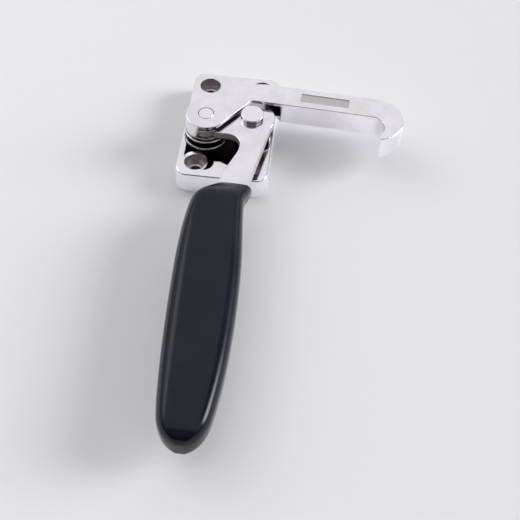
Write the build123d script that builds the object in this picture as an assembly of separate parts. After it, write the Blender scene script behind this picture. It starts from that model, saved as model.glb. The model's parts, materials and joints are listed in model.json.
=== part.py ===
from build123d import *
import os
from math import acos, asin, cos, degrees, pi, radians, sin, sqrt, tan

# Hook-and-lever compression latch for a heavy door.
# Millimetres. The origin is the centre of the four screw holes on the housing's back face.
# +X points along the hook, +Y away from the hand grip and +Z out of the door.

# ---- Driving dimensions -------------------------------------------------------------------

# Housing
HOUSING_WIDTH = 50.0
HOUSING_LENGTH = 80.0
HOUSING_HEIGHT = 12.7
HOUSING_CORNER_R = 6.5
HOUSING_EDGE_R = 1.0
SCREW_SPACING_X = 30.0
SCREW_SPACING_Y = 60.0
SCREW_HOLE_R = 3.3
SCREW_HEAD_R = 5.9
SCREW_HEAD_DEPTH = 6.5
SCREW_HOLE_CHAMFER = 0.6
SCREW_SLOT = 0.9              # the upper right counterbore is drawn out this far towards the edge

# Pivot of the lever, and the hook pin that the lever carries on its ear
PIVOT_X = 12.7
PIVOT_Y = -2.8
PIN_DISTANCE = 25.1
PIN_DIRECTION = -170.5        # degrees from +X, seen from the front, lever at rest
LEVER_TO_STOP = 12.0          # degrees past rest, over the dead centre, to the closed stop

# Heights above the door
LEVER_BACK = 18.7
LEVER_THICKNESS = 4.5
LEVER_SIDE_GAP = 0.3          # lever ear to the hook's lower cheek
HOOK_FRONT = 27.0
UPPER_CHEEK = 1.8
HOOK_ARM_BACK = 13.2
LOWER_CHEEK = 1.2

# Pocket in the housing's front
POCKET_FLOOR = 3.2
POCKET_SWEEP_R = 28.8         # about the pivot: the pin's tail sweeps inside it
POCKET_LEFT = -21.5
POCKET_RIGHT = 7.3            # stops the pin's tail when the lever is fully open
POCKET_LOWER = -27.9
POCKET_RIM_R = 0.5
RING_POCKET_R = 16.3          # round recess about the pivot boss
SIDE_RIM_X = 23.0
SCREW_BOSS_R = 6.9            # round the lower left counterbore, where the pocket reaches it
SCREW_BOSS_SHIFT_X = -0.5     # the cast boss sits a little off the hole's axis
SCREW_BOSS_SHIFT_Y = 1.0
SCREW_BOSS_DROP = 0.5         # its top below the housing's front face
SCREW_WALL = 0.8              # least wall left round that counterbore
SCALLOP_R = 5.5

# Pivot stack
PIVOT_BOSS_R = 10.0
PIVOT_SHANK_R = 4.0
PIVOT_THREAD_R = 3.0
PIVOT_HEAD_R = 6.2
PIVOT_HEAD_HEIGHT = 2.4
PIVOT_SEAT = 13.1             # height of the step that the bolt's shoulder seats on
THRUST_WASHER = 0.5
HEAD_WASHER = 0.4
THRUST_GAP = 0.1
NUT_RECESS_R = 7.0
NUT_RECESS_DEPTH = 7.0
NUT_FLATS = 10.0
NUT_HEIGHT = 5.0
LOCK_WASHER = 1.1

# Hook pin stack
PIN_R = 3.6
PIN_HEAD_R = 4.05
PIN_HEAD_HEIGHT = 0.9
PIN_TAIL_R = 3.1
PIN_TAIL_END = 5.0
PIN_HEAD_GROOVE = 0.3         # ring groove left round the flush head
BUSH_R = 5.0
RUNNING_GAP = 0.05
SPRING_BUSH_LENGTH = 2.1
SPRING_BUSH_R = 10.2
PIN_WASHER = 0.7
PIN_WASHER_R = 5.4
CLIP = 0.7

# Lever
LEVER_HEAD_R = 12.6
EAR_R = 10.0
EAR_LOWER_Y = -17.0
NECK_TILT = 9.6               # degrees that the neck leans towards -X
NECK_RIGHT = 11.8             # neck's right edge from the line through the pivot
LEVER_EDGE_R = 0.4
LEVER_BACK_EDGE_R = 0.3
TANG_END_Y = -172.0
TANG_HOLE_R = 3.5

# Hook
ARM_TILT = -3.0
BOSS_R = 11.1
SLOT_R = 10.2
ARM_LOWER = 14.6              # arm's edges from the pin's axis, square to the arm
ARM_UPPER = 28.9
HEAD_GAP = 6.5                # pivot axis to the hook's sloping edge
KEEPER_X = 89.5
KEEPER_R = 7.3
TIP_R = 15.7
TIP_X = 91.0
TIP_FACE_X = 94.8
TIP_CORNER_R = 1.8
CUT_R = 17.0                  # about the pivot: the arm's full thickness starts outside it
CUT_CORNER_R = 1.2
WALL_FROM = 112.0             # the closed side of the boss, in degrees about the pin
WALL_TO = 256.0
PANEL_X = 62.4
PANEL_LENGTH = 27.0
PANEL_WIDTH = 6.4
PANEL_DEPTH = 0.3
HOOK_EDGE_R = 0.5

# Spring
WIRE_R = 0.6
COIL_R = 11.3
COIL_BOTTOM = 13.45
COIL_TOP = 15.8
COIL_START = 80.0             # degrees about the pin, at the hook's end
COIL_END = 680.0              # degrees about the pin, at the lever's end, one turn and more on
COIL_SAG = 3.6                # the lower turn hangs this far off the pin's axis, towards the grip
COIL_STEP = 30.0
LEG_R = 12.8
LEG_IN_HOOK = 0.8
LEG_IN_LEVER = 2.3
LEG_GAP = 0.15

# Grip
GRIP_BACK = 13.0
GRIP_FRONT = 29.0
GRIP_MIDDLE_X = 4.0
GRIP_CROWN_R = 85.0           # the front is gently round from side to side
GRIP_FRONT_EDGE_R = 6.8
GRIP_BACK_EDGE_R = 3.0

# ---- Places worked out from them ------------------------------------------------------------

PIVOT = Vector(PIVOT_X, PIVOT_Y)


def polar(centre, radius, direction):
    """Point at a radius and a direction in degrees from a centre."""
    return Vector(centre.X + radius * cos(radians(direction)), centre.Y + radius * sin(radians(direction)))


PIN = polar(PIVOT, PIN_DISTANCE, PIN_DIRECTION)
LEVER_FRONT = LEVER_BACK + LEVER_THICKNESS
SLOT_BACK = LEVER_BACK - LEVER_SIDE_GAP
SLOT_FRONT = HOOK_FRONT - UPPER_CHEEK
BOSS_BACK = SLOT_BACK - LOWER_CHEEK
BUSH_BACK = LEVER_BACK - THRUST_GAP
BUSH_FRONT = LEVER_FRONT + THRUST_GAP
PIVOT_BOSS_TOP = BUSH_BACK - THRUST_WASHER
PIN_SHOULDER = BOSS_BACK - SPRING_BUSH_LENGTH
CLIP_FRONT = PIN_SHOULDER - PIN_WASHER
CLIP_GROOVE_R = PIN_TAIL_R - 0.6


def disc(centre, radius, low, high):
    """Round solid about a vertical axis, between two heights."""
    return Pos(centre.X, centre.Y, low) * extrude(Circle(radius), high - low)


def ring(centre, outer, inner, low, high):
    """Washer, bush or sleeve between two heights."""
    return disc(centre, outer, low, high) - disc(centre, inner, low - 1, high + 1)


def slab(outline, low, high):
    """Outline raised between two heights."""
    return extrude(Pos(0, 0, low) * outline, high - low)


def filled(*edges):
    """Flat face inside a closed run of edges."""
    return make_face(Wire(Curve() + list(edges)).edges())


def rounded_polygon(corners):
    """Flat face with a rounding radius at each (x, y, radius) corner."""
    points = [(x, y) for x, y, _ in corners]
    path = FilletPolyline(*points, radius=[r for _, _, r in corners], close=True)
    return make_face(path.edges())


def edges_at(solid, height, tolerance=0.01):
    """Edges that lie flat at one height."""
    return [e for e in solid.edges() if all(abs(v.Z - height) < tolerance for v in (e @ 0, e @ 0.5, e @ 1))]


# ---- Housing ----------------------------------------------------------------------------------


def screw_places():
    return [Vector(x * SCREW_SPACING_X / 2, y * SCREW_SPACING_Y / 2) for x in (-1, 1) for y in (-1, 1)]


def pocket_outline():
    """Open pocket: the sweep of the pin's tail, the square left side and the recess about the boss."""
    closed_pin = polar(PIVOT, PIN_DISTANCE, PIN_DIRECTION - LEVER_TO_STOP)
    upper = closed_pin.Y + PIN_TAIL_R + 0.25
    lower_left = screw_places()[0]

    def block(left, right, low):
        return Pos((left + right) / 2, (low + upper) / 2) * Rectangle(right - left, upper - low)

    sweep = Pos(PIVOT.X, PIVOT.Y) * Circle(POCKET_SWEEP_R) & block(-18, POCKET_RIGHT, -40)
    sweep_meets = PIVOT.X - sqrt(POCKET_SWEEP_R**2 - (PIVOT.Y - POCKET_LOWER) ** 2)
    left = block(POCKET_LEFT, sweep_meets, POCKET_LOWER)
    left = fillet(left.vertices().group_by(Axis.X)[0], 3.0)
    scallop = Pos(lower_left.X + 4.6, lower_left.Y + 0.2) * Circle(SCALLOP_R)
    about_boss = Pos(PIVOT.X, PIVOT.Y) * Circle(RING_POCKET_R)
    about_boss &= Pos(SIDE_RIM_X - 25, 0) * Rectangle(50, HOUSING_LENGTH)
    return sweep + left + scallop + about_boss


def base_housing():
    """Casting with four counterbored screw holes, the pocket, screw boss and pivot boss."""
    body = slab(RectangleRounded(HOUSING_WIDTH, HOUSING_LENGTH, HOUSING_CORNER_R), 0, HOUSING_HEIGHT)
    body = fillet(edges_at(body, HOUSING_HEIGHT), HOUSING_EDGE_R)
    body -= slab(pocket_outline(), POCKET_FLOOR, HOUSING_HEIGHT + 1)
    inside = HOUSING_WIDTH / 2 - HOUSING_EDGE_R - 0.1
    rim = [e for e in edges_at(body, HOUSING_HEIGHT) if abs((e @ 0.5).X) < inside and abs((e @ 0.5).Y) < 35]
    body = fillet(rim, POCKET_RIM_R)
    lower_left = screw_places()[0]
    boss_middle = lower_left + Vector(SCREW_BOSS_SHIFT_X, SCREW_BOSS_SHIFT_Y)
    body += disc(boss_middle, SCREW_BOSS_R, POCKET_FLOOR - 1, HOUSING_HEIGHT - SCREW_BOSS_DROP)
    body += disc(lower_left, SCREW_HEAD_R + SCREW_WALL, POCKET_FLOOR - 1, HOUSING_HEIGHT - SCREW_BOSS_DROP)
    body += disc(PIVOT, PIVOT_BOSS_R, 0, PIVOT_BOSS_TOP)
    body -= disc(PIVOT, NUT_RECESS_R, -1, NUT_RECESS_DEPTH)
    body -= disc(PIVOT, PIVOT_THREAD_R + 0.2, -1, PIVOT_BOSS_TOP + 1)
    body -= disc(PIVOT, PIVOT_SHANK_R + RUNNING_GAP, PIVOT_SEAT, PIVOT_BOSS_TOP + 1)
    for place in screw_places():
        body -= screw_hole(place)
    upper_right = screw_places()[3]
    slot = Pos(upper_right.X, upper_right.Y + SCREW_SLOT / 2) * SlotCenterToCenter(SCREW_SLOT, 2 * SCREW_HEAD_R, 90)
    return body - slab(slot, HOUSING_HEIGHT - SCREW_HEAD_DEPTH, HOUSING_HEIGHT + 1)


def screw_hole(place):
    """Through hole with a chamfered mouth and a counterbore for the screw's head."""
    seat = HOUSING_HEIGHT - SCREW_HEAD_DEPTH
    mouth = Pos(place.X, place.Y, seat - SCREW_HOLE_CHAMFER) * Cone(
        SCREW_HOLE_R, SCREW_HOLE_R + SCREW_HOLE_CHAMFER, SCREW_HOLE_CHAMFER,
        align=(Align.CENTER, Align.CENTER, Align.MIN),
    )
    hole = disc(place, SCREW_HOLE_R, -1, HOUSING_HEIGHT + 1) + mouth
    return hole + disc(place, SCREW_HEAD_R, seat, HOUSING_HEIGHT + 1)


# ---- Pivot stack ------------------------------------------------------------------------------


def pivot_bolt():
    """Shoulder bolt with a plain round head; its shoulder seats on the step in the boss."""
    head_back = BUSH_FRONT + HEAD_WASHER
    head_front = head_back + PIVOT_HEAD_HEIGHT
    head = disc(PIVOT, PIVOT_HEAD_R, head_back, head_front)
    head = fillet(edges_at(head, head_front), 0.35)
    tail = NUT_RECESS_DEPTH - LOCK_WASHER - NUT_HEIGHT - 0.4
    bolt = head + disc(PIVOT, PIVOT_SHANK_R, PIVOT_SEAT, head_back)
    bolt += disc(PIVOT, PIVOT_THREAD_R, tail, PIVOT_SEAT)
    return chamfer(edges_at(bolt, tail), 0.4)


def pivot_upper_washer():
    return ring(PIVOT, PIVOT_HEAD_R + 0.1, PIVOT_SHANK_R + RUNNING_GAP, BUSH_FRONT, BUSH_FRONT + HEAD_WASHER)


def pivot_bush():
    """Sleeve on the bolt's shank that the lever turns on."""
    return ring(PIVOT, BUSH_R, PIVOT_SHANK_R + 0.02, BUSH_BACK, BUSH_FRONT)


def pivot_lower_washer():
    return ring(PIVOT, PIVOT_BOSS_R - 0.5, PIVOT_SHANK_R + RUNNING_GAP, PIVOT_BOSS_TOP, BUSH_BACK)


def pivot_lock_washer():
    """Split spring washer between the recess and the nut."""
    high = NUT_RECESS_DEPTH
    washer = ring(PIVOT, 5.4, PIVOT_THREAD_R + 0.1, high - LOCK_WASHER, high)
    split = Pos(PIVOT.X + 4.5, PIVOT.Y, high) * Rot(25, 0, 0) * Box(4, 0.8, 4)
    return washer - split


def pivot_nut():
    """Hexagon nut with chamfered corners."""
    high = NUT_RECESS_DEPTH - LOCK_WASHER
    low = high - NUT_HEIGHT
    hexagon = extrude(RegularPolygon(NUT_FLATS / 2, 6, major_radius=False), NUT_HEIGHT)
    hexagon = Pos(PIVOT.X, PIVOT.Y, low) * hexagon
    crown = chamfer(disc(PIVOT, NUT_FLATS / 2 * 1.13, low, high).edges(), 0.5)
    return (hexagon & crown) - disc(PIVOT, PIVOT_THREAD_R + 0.02, low - 1, high + 1)


# ---- Lever ------------------------------------------------------------------------------------


def neck_point(down, across):
    """Point of the lever's neck, measured from the pivot down the neck and square to it."""
    tilt = radians(NECK_TILT)
    x = PIVOT.X - down * sin(tilt) + across * cos(tilt)
    y = PIVOT.Y - down * cos(tilt) - across * sin(tilt)
    return x, y


def ear_outline():
    """Tapered bar between the two round ends, tangent to both along its upper edge."""
    rise = degrees(asin((LEVER_HEAD_R - EAR_R) / PIN_DISTANCE))
    upper = PIN_DIRECTION + 180 + rise + 90
    step = 303.0
    corners = [
        polar(PIN, EAR_R, upper),
        polar(PIVOT, LEVER_HEAD_R, upper),
        PIVOT,
        Vector(PIVOT.X, EAR_LOWER_Y),
        polar(PIN, (EAR_LOWER_Y - PIN.Y) / sin(radians(step)), step),
        PIN,
    ]
    bar = make_face(Polyline(*corners, close=True).edges())
    return bar + Pos(PIN.X, PIN.Y) * Circle(EAR_R) + Pos(PIVOT.X, PIVOT.Y) * Circle(LEVER_HEAD_R)


def neck_outline():
    """Neck from the round head down to the tang, with the rounded notch beside the ear."""
    corners = [
        (*neck_point(4, NECK_RIGHT), 0),
        (*neck_point(50, NECK_RIGHT), 30),
        (11.0, -78.0, 40),
        (11.4, TANG_END_Y, 7.0),
        (-2.6, TANG_END_Y, 7.0),
        (-3.4, -76.0, 40),
        (*neck_point(50, -3.8), 20),
        (*neck_point(43, -3.6), 12),
        (*neck_point(26, -0.2), 14),
        (8.9, EAR_LOWER_Y, 7.0),
        (-2.0, EAR_LOWER_Y, 0),
        (-2.0, PIVOT.Y, 0),
    ]
    return rounded_polygon(corners)


def lever_plate():
    """Flat lever: round head on the pivot, ear to the hook pin, neck and tang."""
    plate = slab(ear_outline() + neck_outline(), LEVER_BACK, LEVER_FRONT)
    plate = fillet(edges_at(plate, LEVER_FRONT), LEVER_EDGE_R)
    plate = fillet(edges_at(plate, LEVER_BACK), LEVER_BACK_EDGE_R)
    plate -= disc(PIVOT, BUSH_R + RUNNING_GAP, LEVER_BACK - 1, LEVER_FRONT + 1)
    plate -= disc(PIN, BUSH_R, LEVER_BACK - 1, LEVER_FRONT + 1)
    leg = polar(PIN, COIL_R, COIL_END)
    plate -= disc(leg, WIRE_R + LEG_GAP, LEVER_BACK - 1, LEVER_BACK + LEG_IN_LEVER + LEG_GAP)
    for y in tang_hole_places():
        plate -= disc(Vector(4.1, y), TANG_HOLE_R, LEVER_BACK - 1, LEVER_FRONT + 1)
    return plate


def tang_hole_places():
    return [-90.0 - 30.0 * i for i in range(3)]


def grip_outline():
    """Plan of the grip: square shoulders at the neck, swelling sides and a blunt round end."""
    collar_right = neck_point(50.5, NECK_RIGHT + 0.8)
    collar_left = neck_point(50.5, -4.2)
    shoulder = (-10.4, -60.8)
    waist = (15.4, -62.0)
    tail_right = (16.5, -187.0)
    tail_left = (-8.2, -185.0)
    tip = (4.2, -201.7)
    right = Spline(waist, (18.9, -98.0), (20.2, -140.0), tail_right, tangents=((0.05, -1), (-0.24, -1)))
    left = Spline(tail_left, (-11.6, -151.0), (-13.5, -107.0), shoulder, tangents=((-0.16, 1), (0.33, 1)))
    return filled(
        right,
        Bezier(tail_right, (14.6, -195.0), (12.4, -201.7), tip),
        Bezier(tip, (-3.4, -201.7), (-6.9, -193.0), tail_left),
        left,
        Line(shoulder, collar_left),
        Line(collar_left, collar_right),
        Line(collar_right, waist),
    )


def grip():
    """One-piece grip moulded round the tang, its front end bevelled down to the neck."""
    body = slab(grip_outline(), GRIP_BACK, GRIP_FRONT + 1)
    body &= Plane.XZ * Pos(GRIP_MIDDLE_X, GRIP_FRONT - GRIP_CROWN_R) * extrude(Circle(GRIP_CROWN_R), 250)
    rim = [e for e in body.edges() if all((e @ t).Z > GRIP_FRONT - 4 for t in (0, 0.5, 1))]
    body = fillet(rim, GRIP_FRONT_EDGE_R)
    body = fillet(edges_at(body, GRIP_BACK), GRIP_BACK_EDGE_R)
    bevel_low = LEVER_FRONT + 0.4
    near, far = -52.0, -61.5
    wedge = Plane.YZ * make_face(
        Polyline((near + 6, bevel_low - 4), (near, bevel_low), (far, GRIP_FRONT), (far, 40), (near + 6, 40), close=True)
        .edges()
    )
    body -= Pos(-40, 0, 0) * extrude(wedge, 80)
    return body - slab(neck_outline() - tang_holes(), LEVER_BACK, LEVER_FRONT)


def tang_holes():
    return [Pos(4.1, y) * Circle(TANG_HOLE_R) for y in tang_hole_places()]


def ear_bush():
    """Sleeve pressed in the lever's ear that the hook pin turns in; it holds the upper cheek off the ear."""
    return ring(PIN, BUSH_R, PIN_R + RUNNING_GAP, BUSH_BACK, SLOT_FRONT - THRUST_GAP)


# ---- Hook -------------------------------------------------------------------------------------


def hook_frame():
    """Placement whose X runs along the hook's arm from the pin."""
    return Pos(PIN.X, PIN.Y) * Rot(0, 0, ARM_TILT)


def hook_outline():
    """Front view of the hook, in its own frame with the pin at the origin."""
    to_pivot = PIN_DIRECTION + 180 - ARM_TILT
    normal = to_pivot - degrees(acos((BOSS_R + HEAD_GAP) / PIN_DISTANCE))
    foot = polar(Vector(0, 0), BOSS_R, normal)
    slope = normal + 90
    bend_x = foot.X + (ARM_LOWER - foot.Y) / tan(radians(slope))
    rise = 37.0
    crest = polar(Vector(0, 0), BOSS_R, rise + 90)
    crest_x = crest.X + (ARM_UPPER - crest.Y) / tan(radians(rise))
    web = rounded_polygon(
        [
            (foot.X, foot.Y, 0),
            (bend_x, ARM_LOWER, 2.5),
            (TIP_X, ARM_LOWER, 0),
            (TIP_X, ARM_UPPER, 0),
            (crest_x, ARM_UPPER, 34.0),
            (crest.X, crest.Y, 0),
            (0, 0, 0),
        ]
    )
    tip = Pos(TIP_X, ARM_UPPER - TIP_R) * Circle(TIP_R)
    seat_y = ARM_LOWER - KEEPER_R
    below = Pos(TIP_FACE_X - 25, seat_y - 25 - 4) * Rectangle(50, 50)
    throat = Pos(KEEPER_X, seat_y) * Circle(KEEPER_R) + below
    throat += Pos(KEEPER_X - 25, seat_y - 25 + KEEPER_R) * Rectangle(50, 50)
    outline = (web + Circle(BOSS_R)) + (tip - throat)
    tip_corners = [v for v in outline.vertices() if v.X > TIP_FACE_X - 0.5 and v.Y < seat_y]
    return fillet(tip_corners, TIP_CORNER_R)


def hook_arm():
    """Cast hook: boss with a slot for the lever's ear, thin cheek, thick arm and hooked tip."""
    outline = hook_frame() * hook_outline()
    cheek = slab(outline, SLOT_FRONT, HOOK_FRONT)
    cheek = fillet(edges_at(cheek, HOOK_FRONT), HOOK_EDGE_R)
    thick = outline & Pos(68, 0) * Rectangle(100, 100)
    thick -= Pos(PIVOT.X, PIVOT.Y) * Circle(CUT_R)
    cut_corners = thick.vertices().sort_by_distance((PIVOT.X, PIVOT.Y, 0))[:2]
    front_corner = min(cut_corners, key=lambda corner: corner.Y)
    thick = fillet(front_corner, CUT_CORNER_R)
    arm = slab(thick, HOOK_ARM_BACK, SLOT_FRONT)
    arm = fillet(edges_at(arm, HOOK_ARM_BACK), HOOK_EDGE_R)
    wall = disc(PIN, BOSS_R, BOSS_BACK, SLOT_FRONT) & wall_sector()
    wall -= disc(PIN, SLOT_R, SLOT_BACK, SLOT_FRONT)
    lower_cheek = disc(PIN, SPRING_BUSH_R, BOSS_BACK, SLOT_BACK)
    hook = cheek + arm + wall + lower_cheek
    hook -= disc(PIN, PIN_R, BOSS_BACK - 1, HOOK_FRONT + 1)
    hook -= disc(PIN, PIN_HEAD_R + PIN_HEAD_GROOVE, HOOK_FRONT - PIN_HEAD_HEIGHT, HOOK_FRONT + 1)
    leg = polar(PIN, LEG_R, COIL_START)
    hook -= disc(leg, WIRE_R + LEG_GAP, SLOT_FRONT - 1, SLOT_FRONT + LEG_IN_HOOK + LEG_GAP)
    panel = Pos(PANEL_X, (ARM_LOWER + ARM_UPPER) / 2) * RectangleRounded(PANEL_LENGTH, PANEL_WIDTH, 0.8)
    hook -= slab(hook_frame() * panel, HOOK_FRONT - PANEL_DEPTH, HOOK_FRONT + 1)
    return hook


def wall_sector():
    """Wedge about the pin that keeps only the closed side of the boss."""
    reach = 20
    middle = (WALL_FROM + WALL_TO) / 2
    corners = [PIN] + [polar(PIN, reach, a) for a in (WALL_FROM, middle, WALL_TO)]
    return slab(make_face(Polyline(*corners, close=True).edges()), BOSS_BACK, SLOT_FRONT)


def hook_pin():
    """Headed pin, flush in the hook's front, with a thinner tail that sweeps in the pocket."""
    head_back = HOOK_FRONT - PIN_HEAD_HEIGHT
    head = chamfer(edges_at(disc(PIN, PIN_HEAD_R, head_back, HOOK_FRONT), HOOK_FRONT), 0.15)
    pin = head + disc(PIN, PIN_R, PIN_SHOULDER, head_back)
    tail = chamfer(edges_at(disc(PIN, PIN_TAIL_R, PIN_TAIL_END, PIN_SHOULDER), PIN_TAIL_END), 0.5)
    return pin + tail - ring(PIN, PIN_TAIL_R + 1, CLIP_GROOVE_R, CLIP_FRONT - CLIP, CLIP_FRONT)


def spring_bush():
    return ring(PIN, SPRING_BUSH_R, PIN_R, PIN_SHOULDER, BOSS_BACK)


def hook_pin_washer():
    return ring(PIN, PIN_WASHER_R, PIN_TAIL_R + 0.05, CLIP_FRONT, PIN_SHOULDER)


def hook_pin_clip():
    """Open snap ring in the pin's groove."""
    clip = ring(PIN, 5.2, CLIP_GROOVE_R, CLIP_FRONT - CLIP, CLIP_FRONT)
    mouth = Pos(PIN.X + 4, PIN.Y, CLIP_FRONT) * Box(8, 3.6, 4)
    return clip - mouth


def coil_point(turned):
    """Centre of the wire: the lower turn sags off the pin's axis, the upper turn is true to it."""
    along = (turned - COIL_START) / (COIL_END - COIL_START)
    settled = min(max((turned - 320.0) / 130.0, 0.0), 1.0)
    sag = COIL_SAG * (1 + cos(pi * settled)) / 2
    place = polar(PIN, COIL_R, turned)
    return Vector(place.X + 0.1 * sag, place.Y - sag, COIL_BOTTOM + (COIL_TOP - COIL_BOTTOM) * along)


def torsion_spring():
    """Open-wound torsion spring: the lower leg stands in the hook, the upper leg in the lever."""
    steps = round((COIL_END - COIL_START) / COIL_STEP)
    points = [coil_point(COIL_START + COIL_STEP * i) for i in range(steps + 1)]
    path = Spline(*points)
    spring = sweep(Plane(origin=path @ 0, z_dir=path % 0) * Circle(WIRE_R), path=path)
    start, end = points[0], points[-1]
    foot = polar(PIN, LEG_R, COIL_START)
    reach = Vector(foot.X - start.X, foot.Y - start.Y)
    spring += Plane(origin=start, z_dir=reach) * extrude(Circle(WIRE_R), reach.length)
    spring += Pos(start) * Sphere(WIRE_R)
    spring += Pos(foot.X, foot.Y, COIL_BOTTOM) * Sphere(WIRE_R)
    spring += disc(foot, WIRE_R, COIL_BOTTOM, SLOT_FRONT + LEG_IN_HOOK)
    spring += Pos(end) * Sphere(WIRE_R)
    spring += disc(end, WIRE_R, COIL_TOP, LEVER_BACK + LEG_IN_LEVER)
    return spring


# ---- Every piece, one file each ---------------------------------------------------------------

PIECES = [
    base_housing,
    pivot_bolt,
    pivot_upper_washer,
    pivot_bush,
    pivot_lower_washer,
    pivot_lock_washer,
    pivot_nut,
    lever_plate,
    grip,
    ear_bush,
    hook_arm,
    hook_pin,
    spring_bush,
    hook_pin_washer,
    hook_pin_clip,
    torsion_spring,
]

os.makedirs("parts", exist_ok=True)
for make_piece in PIECES:
    export_step(make_piece(), f"parts/{make_piece.__name__}.step")
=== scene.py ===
"""Dressing of a hook-and-lever door latch: metal and moulded finishes, shaped details and the studio.

Metres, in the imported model's frame: +X along the hook, +Y away from the grip, +Z out of the door.
"""

import json
from collections import namedtuple
from math import cos, pi, radians

import bpy
from mathutils import Matrix, Vector

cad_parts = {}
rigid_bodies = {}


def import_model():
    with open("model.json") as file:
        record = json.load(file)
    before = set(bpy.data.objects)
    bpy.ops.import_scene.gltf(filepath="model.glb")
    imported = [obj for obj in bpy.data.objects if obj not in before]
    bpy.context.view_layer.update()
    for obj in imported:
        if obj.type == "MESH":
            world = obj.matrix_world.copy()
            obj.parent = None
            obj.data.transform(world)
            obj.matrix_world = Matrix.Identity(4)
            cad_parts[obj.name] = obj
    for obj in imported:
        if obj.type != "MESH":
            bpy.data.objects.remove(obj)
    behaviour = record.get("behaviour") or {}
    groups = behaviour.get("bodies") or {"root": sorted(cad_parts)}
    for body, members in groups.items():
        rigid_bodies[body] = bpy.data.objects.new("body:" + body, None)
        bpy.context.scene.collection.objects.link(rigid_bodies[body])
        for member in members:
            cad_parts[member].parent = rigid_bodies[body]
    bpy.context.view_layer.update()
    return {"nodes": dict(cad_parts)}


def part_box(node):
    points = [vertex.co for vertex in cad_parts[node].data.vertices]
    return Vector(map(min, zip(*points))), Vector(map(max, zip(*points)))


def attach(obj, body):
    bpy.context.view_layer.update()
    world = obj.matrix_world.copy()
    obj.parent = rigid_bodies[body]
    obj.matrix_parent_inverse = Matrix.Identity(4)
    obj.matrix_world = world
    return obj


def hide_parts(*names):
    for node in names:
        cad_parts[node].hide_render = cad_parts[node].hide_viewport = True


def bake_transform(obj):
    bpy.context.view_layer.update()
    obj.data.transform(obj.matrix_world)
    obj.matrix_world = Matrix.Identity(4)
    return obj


MM = 0.001

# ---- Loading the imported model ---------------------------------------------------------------

for leftover in list(bpy.data.objects):
    bpy.data.objects.remove(leftover)

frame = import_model()


# ---- Places that the finishes and pieces are made to ------------------------------------------


def middle(node):
    low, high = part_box(node)
    return (low + high) / 2


PIN = middle("hook_pin")
PIVOT = middle("pivot_nut")
HOUSING_FRONT = 12.7 * MM       # the flat front: only the boss round the pivot stands higher
HOOK_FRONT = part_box("hook_arm")[1].z


# ---- Shader arithmetic ------------------------------------------------------------------------


class Wire:
    """One socket of a node tree, so that shader maths reads as plain arithmetic."""

    def __init__(self, nodes, socket):
        self.nodes = nodes
        self.socket = socket

    def maths(self, operation, first, second):
        return self.nodes.add("Math", {"operation": operation}, {0: first, 1: second})

    def __add__(self, other):
        return self.maths("ADD", self, other)

    def __sub__(self, other):
        return self.maths("SUBTRACT", self, other)

    def __rsub__(self, other):
        return self.maths("SUBTRACT", other, self)

    def __mul__(self, other):
        return self.maths("MULTIPLY", self, other)

    def __pow__(self, other):
        return self.maths("POWER", self, other)

    def __lt__(self, other):
        return self.maths("LESS_THAN", self, other)

    def __abs__(self):
        return self.maths("ABSOLUTE", self, 0.0)

    __radd__ = __add__
    __rmul__ = __mul__


class Nodes:
    """A node tree that is built by adding nodes and joining their sockets."""

    def __init__(self, owner):
        owner.use_nodes = True
        self.tree = owner.node_tree

    def join(self, socket, value):
        if isinstance(value, Wire):
            self.tree.links.new(value.socket, socket)
        else:
            socket.default_value = value

    def add(self, kind, settings, sockets, output=0):
        """New node of a type: its settings first, then the values or links of its sockets."""
        node = self.tree.nodes.new("ShaderNode" + kind)
        for name, value in settings.items():
            setattr(node, name, value)
        for name, value in sockets.items():
            self.join(node.inputs[name], value)
        return Wire(self, node.outputs[output])

    def split(self, vector):
        return [self.add("SeparateXYZ", {}, {0: vector}, axis) for axis in "XYZ"]

    def ramp(self, value, low, high):
        """0 below low, 1 above high, smooth between."""
        return self.add("MapRange", {"interpolation_type": "SMOOTHSTEP"}, {
            "Value": value, "From Min": low, "From Max": high, "To Min": 0.0, "To Max": 1.0})

    def larger(self, first, second):
        return self.add("Math", {"operation": "MAXIMUM"}, {0: first, 1: second})

    def sine(self, value):
        """A wave from 0 to 1."""
        return self.add("Math", {"operation": "SINE"}, {0: value}) * 0.5 + 0.5


FINE_GRAIN = (60, 4200, 4200)       # marks per metre along and across the polishing
BROAD_GRAIN = (25, 480, 480)


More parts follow.
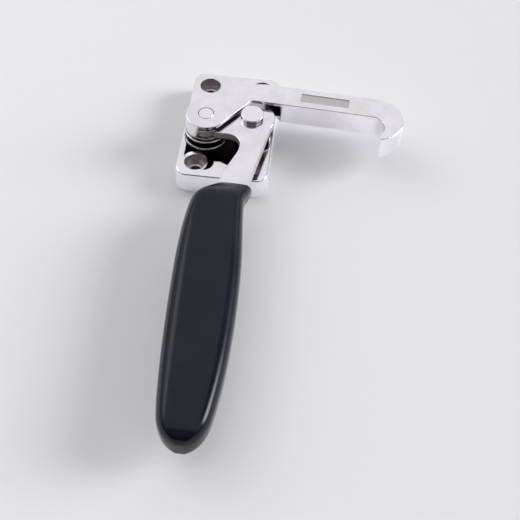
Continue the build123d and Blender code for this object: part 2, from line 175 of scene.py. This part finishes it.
class Finish(Nodes):
    """One material: its shader, and the object's own coordinates in x, y and z."""

    def __init__(self, name):
        self.material = bpy.data.materials.new(name)
        super().__init__(self.material)
        self.shader = self.tree.nodes["Principled BSDF"]
        self.place = self.add("TexCoord", {}, {}, "Object")
        self.x, self.y, self.z = self.split(self.place)

    def set(self, **values):
        """Sockets of the surface shader: underscores stand for spaces."""
        for name, value in values.items():
            self.join(self.shader.inputs[name.replace("_", " ")], value)

    def turned(self, angle, stretch):
        """Object coordinates turned about Z, then stretched along their own axes."""
        spot = self.add("Mapping", {"vector_type": "TEXTURE"}, {
            "Vector": self.place, "Rotation": (0, 0, angle)})
        return self.add("Mapping", {}, {"Vector": spot, "Scale": stretch})

    def noise(self, where, scale, detail=2.0, roughness=0.5):
        return self.add("TexNoise", {}, {
            "Vector": where, "Scale": scale, "Detail": detail, "Roughness": roughness})

    def blend(self, share, first, second):
        """Colour that goes from the first to the second as share goes from 0 to 1."""
        return self.add("Mix", {"data_type": "RGBA"}, {
            "Factor": share, 6: self.colour(first), 7: self.colour(second)}, 2)

    @staticmethod
    def colour(value):
        return value if isinstance(value, Wire) else (*value, 1)

    def bump(self, height, depth):
        """Normal from a height of 0 to 1 that stands for a real depth in metres."""
        return self.add("Bump", {}, {"Height": height, "Distance": depth})

    def ring_distance(self, centre):
        """Distance from a vertical axis, in metres."""
        across = self.x - centre.x
        along = self.y - centre.y
        return (across * across + along * along) ** 0.5

    def near(self, value, middle, half_width, soft=0.0):
        """1 within half a width of a middle value, 0 outside."""
        away = abs(value - middle)
        return self.ramp(half_width + soft - away, 0.0, soft) if soft else away < half_width

    def grain(self, direction):
        """Fine parallel polishing marks, long along one direction."""
        fine = self.noise(self.turned(direction, FINE_GRAIN), 1.0, 3.0, 0.6)
        broad = self.noise(self.turned(direction, BROAD_GRAIN), 1.0, 2.0)
        return fine * 0.65 + broad * 0.35

    def cloud(self, size):
        """Slow uneven patches, such as hand polishing leaves."""
        return self.ramp(self.noise(self.place, 1 / size, 3.0, 0.55), 0.32, 0.68)


# ---- Metal finishes -----------------------------------------------------------------------------

BRIGHT_STEEL = (0.83, 0.81, 0.87)
WARM_STEEL = (0.69, 0.665, 0.70)
# Painted into the housing's hollows: painted shade in the counterbores, the drilled holes and the pocket,
# and painted light near the pocket's front edge.
BORE_PAINTED_SHADE = (0.52, 0.46, 0.48)
HOLE_PAINTED_SHADE = (0.05, 0.045, 0.045)
POCKET_PAINTED_SHADE = (0.010, 0.008, 0.008)
POCKET_PAINTED_LIGHT = (0.14, 0.10, 0.07)
# painted shade in the groove round the hook pin's head
GROOVE_PAINTED_SHADE = (0.05, 0.045, 0.05)
CUT_STEEL = (0.50, 0.44, 0.40)
# painted shade at the foot of the pivot bolt's head, by the washer
HEAD_FOOT_PAINTED_SHADE = (0.06, 0.05, 0.04)
PANEL_DARK = (0.42, 0.40, 0.42)
PANEL_LIGHT = (0.60, 0.575, 0.60)
WIRE_BRIGHT = (0.74, 0.72, 0.73)
WIRE_DULL = (0.45, 0.42, 0.41)
# painted shade on the spring's lower turn
WIRE_PAINTED_SHADE = (0.22, 0.19, 0.17)
BRONZE_BRIGHT = (0.62, 0.43, 0.22)
BRONZE_DARK = (0.30, 0.19, 0.10)

SCRATCH_DEPTH = 0.003 * MM
PORE_DEPTH = 0.01 * MM
CUT_MARGIN = 0.5 * MM               # polished rim above and below the lever's cut edge
ARM_TILT = radians(-3)
PANEL_PLACE = Vector((62.4, 21.75, 0)) * MM    # from the hook's pin, along the arm and square to it
PANEL_HALF_LENGTH = 13.7 * MM
PANEL_HALF_WIDTH = 3.4 * MM
PANEL_DEPTH = 0.3 * MM
PIN_GROOVE_R = 4.1 * MM
SCREW_X = 15 * MM
SCREW_Y = 30 * MM
COUNTERBORE_R = 6.0 * MM
SCREW_MOUTH_R = 3.7 * MM
SCREW_HOLE_R = 3.35 * MM
POCKET_CORNER = Vector((18.5, 33.5)) * MM      # centre of the rounded corners that bound the inside
POCKET_CORNER_R = 5.9 * MM
RING_PITCH = 24000


def satin_steel(name, direction):
    """Stainless plate, polished along one direction."""
    metal = Finish(name)
    grain = metal.grain(direction)
    patches = metal.cloud(0.011)
    metal.skin = metal.blend(patches * 0.45 + grain * 0.4, BRIGHT_STEEL, WARM_STEEL)
    metal.rough = 0.07 + grain * 0.12 + patches * 0.04
    metal.set(
        Base_Color=metal.skin,
        Metallic=1.0,
        Roughness=metal.rough,
        Normal=metal.bump(grain, SCRATCH_DEPTH),
    )
    return metal


def lever_steel():
    """Polished faces, with the cut edge between them left rough and a little brown."""
    metal = satin_steel("lever_satin_stainless", radians(80))
    low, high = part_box("lever_plate")
    cut = metal.near(metal.z, (low.z + high.z) / 2, (high.z - low.z) / 2 - CUT_MARGIN, CUT_MARGIN / 2)
    metal.set(
        Base_Color=metal.blend(cut * 0.6, metal.skin, CUT_STEEL),
        Roughness=metal.rough * (1 - cut) + cut * 0.5,
    )
    return metal


def hook_steel():
    """Polished like the lever, with a blasted grey panel and painted shade as a dark ring round the pin's
    head.
    """
    metal = satin_steel("hook_satin_stainless", ARM_TILT)
    centre = PIN + Matrix.Rotation(ARM_TILT, 3, "Z") @ PANEL_PLACE
    local = metal.add("Mapping", {"vector_type": "TEXTURE"}, {
        "Vector": metal.place, "Location": (centre.x, centre.y, 0), "Rotation": (0, 0, ARM_TILT)})
    along, across, _ = metal.split(local)
    floor = metal.near(metal.z, HOOK_FRONT - PANEL_DEPTH, PANEL_DEPTH / 3)
    sunk = metal.near(along, 0.0, PANEL_HALF_LENGTH) * metal.near(across, 0.0, PANEL_HALF_WIDTH) * floor
    blast = metal.noise(metal.place, 5200, 2.0)
    dull = metal.blend(blast, PANEL_DARK, PANEL_LIGHT)
    below_face = metal.z < HOOK_FRONT - 0.12 * MM
    # painted shade: a dark ring down in the groove round the pin's head
    groove = metal.near(metal.ring_distance(PIN), PIN_GROOVE_R, 0.4 * MM) * below_face
    plain = metal.blend(sunk, metal.skin, dull)
    metal.set(
        Base_Color=metal.blend(groove, plain, GROOVE_PAINTED_SHADE),
        Roughness=metal.rough * (1 - sunk) + sunk * (0.42 + blast * 0.12) + groove * 0.3,
    )
    return metal


def cast_steel():
    """Cast housing: satin outside; down in the pocket and the screw holes rough as cast, with painted
    shade, and painted light near the pocket's front edge.
    """
    metal = Finish("housing_cast_stainless")
    pebble = metal.noise(metal.place, 2600, 3.0, 0.6)
    patches = metal.cloud(0.013)
    marks = metal.grain(radians(38))
    depth = HOUSING_FRONT - metal.z
    corner_x = metal.larger(abs(metal.x) - POCKET_CORNER.x, 0.0)
    corner_y = metal.larger(abs(metal.y) - POCKET_CORNER.y, 0.0)
    inside = (corner_x * corner_x + corner_y * corner_y) ** 0.5 < POCKET_CORNER_R
    above_back = metal.ramp(metal.z, 0.1 * MM, 0.4 * MM)
    down = metal.ramp(depth, 0.3 * MM, 1.6 * MM) * inside * above_back
    screw_x = abs(metal.x) - SCREW_X
    screw_y = abs(metal.y) - SCREW_Y
    from_screw = (screw_x * screw_x + screw_y * screw_y) ** 0.5
    bore = from_screw < COUNTERBORE_R
    mouth = metal.near(from_screw, SCREW_MOUTH_R, 0.35 * MM, 0.1 * MM)
    # painted light: the pocket floor lighter and brown towards its front edge, where light reaches in
    painted_front_light = metal.ramp(metal.y * -1.0, 19 * MM, 28 * MM)
    skin = metal.blend(patches * 0.45 + marks * 0.4, BRIGHT_STEEL, WARM_STEEL)
    # painted shade: the pocket nearly black, with painted light blended in towards its front edge
    pocket = metal.blend(painted_front_light * pebble, POCKET_PAINTED_SHADE, POCKET_PAINTED_LIGHT)
    # painted shade on the counterbore's wall and floor, with the ring at the hole's mouth left bright steel
    seat = metal.blend(mouth, BORE_PAINTED_SHADE, BRIGHT_STEEL)
    # painted shade: the drilled hole nearly black
    drilled = metal.blend(from_screw < SCREW_HOLE_R, seat, HOLE_PAINTED_SHADE)
    shade = metal.blend(bore, pocket, drilled)
    metal.set(
        Base_Color=metal.blend(down, skin, shade),
        Metallic=1.0,
        Roughness=0.08 + marks * 0.10 + patches * 0.04 + down * (0.14 + pebble * 0.10 + mouth * 0.2),
        Normal=metal.bump(marks * (1 - down) + pebble * down * 6.0, SCRATCH_DEPTH),
    )
    return metal


def turned_steel(name, axis, rough):
    """Lathe-faced steel: fine rings about a vertical axis."""
    metal = Finish(name)
    wobble = metal.noise(metal.place, 900, 2.0)
    rings = metal.sine((metal.ring_distance(axis) + metal.z) * RING_PITCH + wobble * 4.0)
    metal.skin = metal.blend(wobble * 0.4, BRIGHT_STEEL, WARM_STEEL)
    metal.set(
        Base_Color=metal.skin,
        Metallic=1.0,
        Roughness=rough + rings * 0.03 + wobble * 0.05,
        Normal=metal.bump(rings, SCRATCH_DEPTH),
    )
    return metal


def bolt_steel():
    """The pivot bolt: painted shade darkens its head's wall, most of all down at the washer."""
    metal = turned_steel("pivot_bolt_stainless", PIVOT, 0.07)
    head_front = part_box("pivot_bolt")[1].z
    # painted shade: the head's wall darker towards its foot at the washer
    painted_foot_shade = 1 - metal.ramp(metal.z, head_front - 2.2 * MM, head_front - 0.4 * MM)
    metal.set(Base_Color=metal.blend(painted_foot_shade * 0.85, metal.skin, HEAD_FOOT_PAINTED_SHADE))
    return metal


def drawn_wire():
    """Spring wire: bright, with slight drawing streaks and darker patches, and painted shade on its lower
    turn.
    """
    metal = Finish("drawn_spring_wire")
    streaks = metal.noise(metal.turned(0, (900, 900, 5200)), 1.0, 2.0)
    patches = metal.cloud(0.004)
    # painted shade: the lower turn darker, lying low by the pocket
    shaded_lower_turn = 1 - metal.ramp(metal.z, 14.4 * MM, 15.6 * MM)
    bright = metal.blend(patches * 0.7, WIRE_BRIGHT, WIRE_DULL)
    metal.set(
        Base_Color=metal.blend(shaded_lower_turn * 0.85, bright, WIRE_PAINTED_SHADE),
        Metallic=1.0,
        Roughness=0.14 + streaks * 0.14,
        Normal=metal.bump(streaks, PORE_DEPTH),
    )
    return metal


def bearing_bronze():
    metal = Finish("bearing_bronze")
    pores = metal.ramp(metal.noise(metal.place, 6000, 1.0), 0.45, 0.7)
    patches = metal.cloud(0.006)
    metal.set(
        Base_Color=metal.blend(patches * 0.6 + pores * 0.3, BRONZE_BRIGHT, BRONZE_DARK),
        Metallic=1.0,
        Roughness=0.34 + pores * 0.2,
        Normal=metal.bump(pores, PORE_DEPTH),
    )
    return metal


# ---- Moulded grip --------------------------------------------------------------------------------

DEEP_BLACK = (0.0035, 0.0045, 0.0110)
WORN_BLACK = (0.010, 0.0115, 0.020)


def grip_plastic():
    """Smooth black moulded plastic: a faint spark-eroded texture, handling marks and dull patches."""
    plastic = Finish("black_moulded_plastic")
    texture = plastic.noise(plastic.place, 3600, 3.0, 0.55)
    flow = plastic.noise(plastic.turned(0, (160, 22, 160)), 1.0, 3.0, 0.5)
    scuff = plastic.noise(plastic.turned(radians(24), (90, 2600, 900)), 1.0, 4.0, 0.7)
    scuff = plastic.ramp(scuff, 0.66, 0.74)
    patches = plastic.cloud(0.024)
    wear = flow * 0.45 + patches * 0.35 + scuff * 0.2
    plastic.set(
        Base_Color=plastic.blend(wear, DEEP_BLACK, WORN_BLACK),
        Roughness=0.14 + patches * 0.05 + texture * 0.05 + scuff * 0.08,
        Specular_IOR_Level=0.22,
        Normal=plastic.bump(texture, 0.005 * MM),
    )
    return plastic


# ---- Shaped pieces --------------------------------------------------------------------------------


def pick(kind, wanted):
    """In edit mode, select only the vertices, edges or faces whose middle is wanted."""
    bpy.ops.mesh.select_mode(type=kind)
    bpy.ops.mesh.select_all(action="DESELECT")
    bpy.ops.object.mode_set(mode="OBJECT")
    shape = bpy.context.object.data
    points = [v.co for v in shape.vertices]
    if kind == "VERT":
        places = [(v, v.co) for v in shape.vertices]
    elif kind == "EDGE":
        places = [(e, (points[e.vertices[0]] + points[e.vertices[1]]) / 2) for e in shape.edges]
    else:
        places = [(f, f.center) for f in shape.polygons]
    for part, place in places:
        part.select = wanted(place)
    bpy.ops.object.mode_set(mode="EDIT")


# A section of the grip: place along Y, left and right side in mm, and share of the full height.
Section = namedtuple("Section", "y left right height")

GRIP_START = Section(-66.5, -12.1, 15.7, 1.0)
GRIP_DOWN = [Section(*row) for row in (
    (-80.0, -13.6, 17.0, 1.0),
    (-100.0, -13.9, 19.2, 1.0),
    (-120.0, -13.2, 20.2, 1.0),
    (-140.0, -12.4, 20.4, 1.0),
    (-160.0, -11.1, 20.0, 1.0),
    (-176.0, -9.7, 18.7, 1.0),
    (-185.5, -8.6, 17.5, 1.0),
    (-191.5, -7.5, 16.3, 0.98),
    (-196.2, -5.3, 14.1, 0.92),
    (-199.4, -2.3, 11.1, 0.79),
    (-201.1, 1.6, 7.2, 0.58),
)]
GRIP_UP = [Section(*row) for row in (
    (-61.6, -10.8, 15.6, 1.0),
    (-56.8, -6.2, 17.4, 0.84),
    (-52.4, -1.3, 18.2, 0.69),
)]
GRIP_BACK = 13.0
GRIP_SHOULDER = 28.1
GRIP_CROWN = 0.9
GRIP_CORNERS = (                # height, side and size of the slope that takes off each corner
    (GRIP_SHOULDER, -1, 3.6),
    (GRIP_SHOULDER, 1, 3.2),
    (GRIP_BACK, -1, 3.0),
    (GRIP_BACK, 1, 3.0),
)
CROWN_STEPS = ((8, 0.72), (1, 0.28))    # reach each side of the middle, and share of the crown
GRIP_LEVELS = 3
END_INSET = 1.5
NEARBY = 0.1                    # how far off a selected middle may lie


def push_section(old, new):
    """Extrude the selected end face to the next section and fit it to its width and height."""
    slide = ((new.left + new.right - old.left - old.right) / 2 * MM, (new.y - old.y) * MM, 0)
    bpy.ops.mesh.extrude_region_move(TRANSFORM_OT_translate={"value": slide})
    centre = ((new.left + new.right) / 2 * MM, new.y * MM, GRIP_BACK * MM)
    width = (new.right - new.left) / (old.right - old.left)
    bpy.ops.transform.resize(value=(width, 1, new.height / old.height), center_override=centre)


def crease_collar(y):
    """A sharp edge where the plastic ends on the lever, with a flat face inside it."""
    pick("EDGE", lambda p: abs(p.y - y * MM) < NEARBY * MM)
    bpy.ops.transform.edge_crease(value=1.0)
    pick("FACE", lambda p: abs(p.y - y * MM) < NEARBY * MM)
    bpy.ops.mesh.inset(thickness=END_INSET * MM)


def grip_body():
    """Moulded grip: one rounded section run down its length, and rolled over to the neck at the top."""
    y, left, right, _ = GRIP_START
    bpy.ops.object.select_all(action="DESELECT")
    centre = Vector((left + right, 2 * y, GRIP_SHOULDER + GRIP_BACK)) / 2 * MM
    bpy.ops.mesh.primitive_plane_add(size=MM, rotation=(pi / 2, 0, 0), location=centre)
    body = bpy.context.active_object
    body.name = "grip_body"
    bpy.ops.object.transform_apply(location=True, rotation=True, scale=True)
    bpy.ops.object.mode_set(mode="EDIT")
    bpy.ops.transform.resize(value=(right - left, 1, GRIP_SHOULDER - GRIP_BACK), center_override=centre)
    for front in (True, False):
        pick("EDGE", lambda p: abs(p.x - centre.x) < MM and (p.z > centre.z) == front)
        bpy.ops.mesh.subdivide(number_cuts=3)
    for reach, lift in CROWN_STEPS:
        pick("VERT", lambda p: p.z > (GRIP_SHOULDER - NEARBY) * MM and abs(p.x - centre.x) < reach * MM)
        bpy.ops.transform.translate(value=(0, 0, GRIP_CROWN * lift * MM))
    for height, side, size in GRIP_CORNERS:
        pick("VERT", lambda p: abs(p.z - height * MM) < MM and (p.x - centre.x) * side > 10 * MM)
        bpy.ops.mesh.bevel(offset=size * MM, segments=1, affect="VERTICES")
    for side in (left, right):
        pick("EDGE", lambda p: abs(p.x - side * MM) < NEARBY * MM)
        bpy.ops.mesh.subdivide(number_cuts=1)
    pick("FACE", lambda p: True)
    for old, new in zip([GRIP_START] + GRIP_DOWN, GRIP_DOWN):
        push_section(old, new)
    bpy.ops.mesh.inset(thickness=END_INSET * MM)
    pick("FACE", lambda p: abs(p.y - y * MM) < NEARBY * MM)
    for old, new in zip([GRIP_START] + GRIP_UP, GRIP_UP):
        push_section(old, new)
    crease_collar(GRIP_UP[-1].y)
    bpy.ops.mesh.select_all(action="SELECT")
    bpy.ops.mesh.normals_make_consistent(inside=False)
    bpy.ops.object.mode_set(mode="OBJECT")
    smooth = body.modifiers.new("smooth", "SUBSURF")
    smooth.levels = smooth.render_levels = GRIP_LEVELS
    bpy.ops.object.modifier_apply(modifier="smooth")
    bpy.ops.object.shade_smooth()
    return body


# ---- Spring wire ----------------------------------------------------------------------------------

WIRE_SHARP = 40                 # degrees: sharper edges of the wire stay sharp


def spring_wire():
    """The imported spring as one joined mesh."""
    piece = bpy.data.objects.new("spring_wire", frame["nodes"]["torsion_spring"].data.copy())
    bpy.context.scene.collection.objects.link(piece)
    bpy.ops.object.select_all(action="DESELECT")
    piece.select_set(True)
    bpy.context.view_layer.objects.active = piece
    bpy.ops.object.mode_set(mode="EDIT")
    bpy.ops.mesh.select_all(action="SELECT")
    bpy.ops.mesh.customdata_custom_splitnormals_clear()
    bpy.ops.mesh.remove_doubles(threshold=MM / 2000)
    bpy.ops.object.mode_set(mode="OBJECT")
    bpy.ops.object.shade_smooth_by_angle(angle=radians(WIRE_SHARP))
    return piece


def wind_spring(piece):
    """Bakes the spring's placement into its mesh; its legs and coils are not moved."""
    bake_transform(piece)


# ---- Dressing every node ---------------------------------------------------------------------------


def dress(node, finish):
    thing = frame["nodes"][node]
    thing.data.materials.clear()
    thing.data.materials.append(finish.material)


def dress_all():
    turned = turned_steel("turned_stainless", PIVOT, 0.07)
    faced = turned_steel("faced_stainless", PIN, 0.12)
    spring = drawn_wire()
    bronze = bearing_bronze()
    moulding = grip_plastic()
    dress("base_housing", cast_steel())
    dress("lever_plate", lever_steel())
    dress("pivot_bolt", bolt_steel())
    dress("hook_arm", hook_steel())
    dress("grip", moulding)
    body = grip_body()
    body.data.materials.append(moulding.material)
    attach(body, "lever")
    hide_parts("grip")
    wire = spring_wire()
    wire.data.materials.clear()
    wire.data.materials.append(spring.material)
    wind_spring(wire)
    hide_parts("torsion_spring")
    for node in ("pivot_upper_washer", "pivot_lower_washer", "pivot_nut"):
        dress(node, turned)
    for node in ("hook_pin", "hook_pin_washer", "spring_bush"):
        dress(node, faced)
    for node in ("torsion_spring", "hook_pin_clip", "pivot_lock_washer"):
        dress(node, spring)
    for node in ("pivot_bush", "ear_bush"):
        dress(node, bronze)


# ---- Studio ------------------------------------------------------------------------------------------

NEAR_SIDE = (0.0, -0.86, 0.51)          # directions from the object, out into the room
RIGHT_GAP = (0.55, 0.42, 0.72)
LOW_RIGHT = (0.90, 0.24, 0.41)
TENT_STRENGTH = 0.95
SPOT_STRENGTH = 16.0
BACKDROP_STRENGTH = 0.8                 # as the camera sees it
LAMP_PLACE = (-0.90, 0.40, 0.90)
LAMP_POWER = 2.5
FLOOR_SIZE = 5.0
FLOOR_DROP = 0.2 * MM
FLOOR_GLOW = 0.31                       # seen in the metal only
PAPER = (0.74, 0.74, 0.76, 1)
PAPER_GLOW = (0.84, 0.84, 0.86, 1)

def softbox(name, place, size, power, towards=(0.01, -0.06, 0.015)):
    """Rectangular lamp that faces the object."""
    lamp = bpy.data.lights.new(name, "AREA")
    lamp.shape = "RECTANGLE"
    lamp.size, lamp.size_y = size
    lamp.energy = power
    holder = bpy.data.objects.new(name, lamp)
    bpy.context.scene.collection.objects.link(holder)
    aim = (Vector(towards) - Vector(place)).to_track_quat("-Z", "Y")
    holder.matrix_world = Matrix.Translation(place) @ aim.to_matrix().to_4x4()


def patch(room, sides, centre, inner, outer):
    """1 within an angle of a direction, 0 past a wider one."""
    toward = Vector(centre).normalized()
    cosine = sides[0] * toward.x + sides[1] * toward.y + sides[2] * toward.z
    return room.ramp(cosine, cos(radians(outer)), cos(radians(inner)))


def light_studio():
    """Pale tent, dark low on the near side and in a gap on the right, with a soft spot low on the right."""
    world = bpy.data.worlds.new("studio")
    bpy.context.scene.world = world
    room = Nodes(world)
    sides = room.split(room.add("TexCoord", {}, {}, "Generated"))
    near_side = patch(room, sides, NEAR_SIDE, 36, 48)
    gap = patch(room, sides, RIGHT_GAP, 8, 24)
    apron = room.ramp(sides[1] * -1.0, 0.02, 0.22) * (1 - room.ramp(sides[2], 0.40, 0.58))
    tent = TENT_STRENGTH * (1 - 0.78 * near_side) * (1 - 0.80 * apron) * (1 - 0.85 * gap)
    low = room.larger(room.ramp(sides[2], 0.02, 0.22), room.ramp(sides[1], 0.80, 0.95))
    spot = SPOT_STRENGTH * patch(room, sides, LOW_RIGHT, 3, 18)
    backdrop = room.tree.nodes["Background"]
    backdrop.inputs["Color"].default_value = (1, 1, 1, 1)
    seen = room.add("LightPath", {}, {}, "Is Camera Ray")
    lit = tent * (0.10 + 0.90 * low) + spot
    room.join(backdrop.inputs["Strength"], lit * (1 - seen) + seen * BACKDROP_STRENGTH)
    softbox("high_left", LAMP_PLACE, (0.8, 0.6), LAMP_POWER)


def lay_floor():
    bpy.ops.mesh.primitive_plane_add(size=FLOOR_SIZE, location=(0, 0, -FLOOR_DROP))
    floor = bpy.context.active_object
    floor.name = "studio_floor"
    paper = Finish("pale_paper")
    mirrored = paper.add("LightPath", {}, {}, "Is Glossy Ray")
    paper.set(
        Base_Color=PAPER,
        Roughness=0.95,
        Specular_IOR_Level=0.1,
        Emission_Color=PAPER_GLOW,
        Emission_Strength=mirrored * FLOOR_GLOW,
    )
    floor.data.materials.append(paper.material)


CAMERA_PLACE = (0.0483, -0.3803, 0.3978)
CAMERA_TURN = ((4.17, "Z"), (36.94, "X"), (2.75, "Z"))     # heading, tilt and roll in degrees
CAMERA_LENS = 66.65


def set_camera():
    lens = bpy.data.cameras.new("camera")
    lens.lens = CAMERA_LENS
    lens.sensor_width = 36.0
    camera = bpy.data.objects.new("camera", lens)
    bpy.context.scene.collection.objects.link(camera)
    heading, tilt, roll = (Matrix.Rotation(radians(angle), 4, axis) for angle, axis in CAMERA_TURN)
    camera.matrix_world = Matrix.Translation(CAMERA_PLACE) @ heading @ tilt @ roll
    bpy.context.scene.camera = camera


set_camera()
dress_all()
light_studio()
lay_floor()
bpy.context.scene.view_settings.view_transform = "Standard"
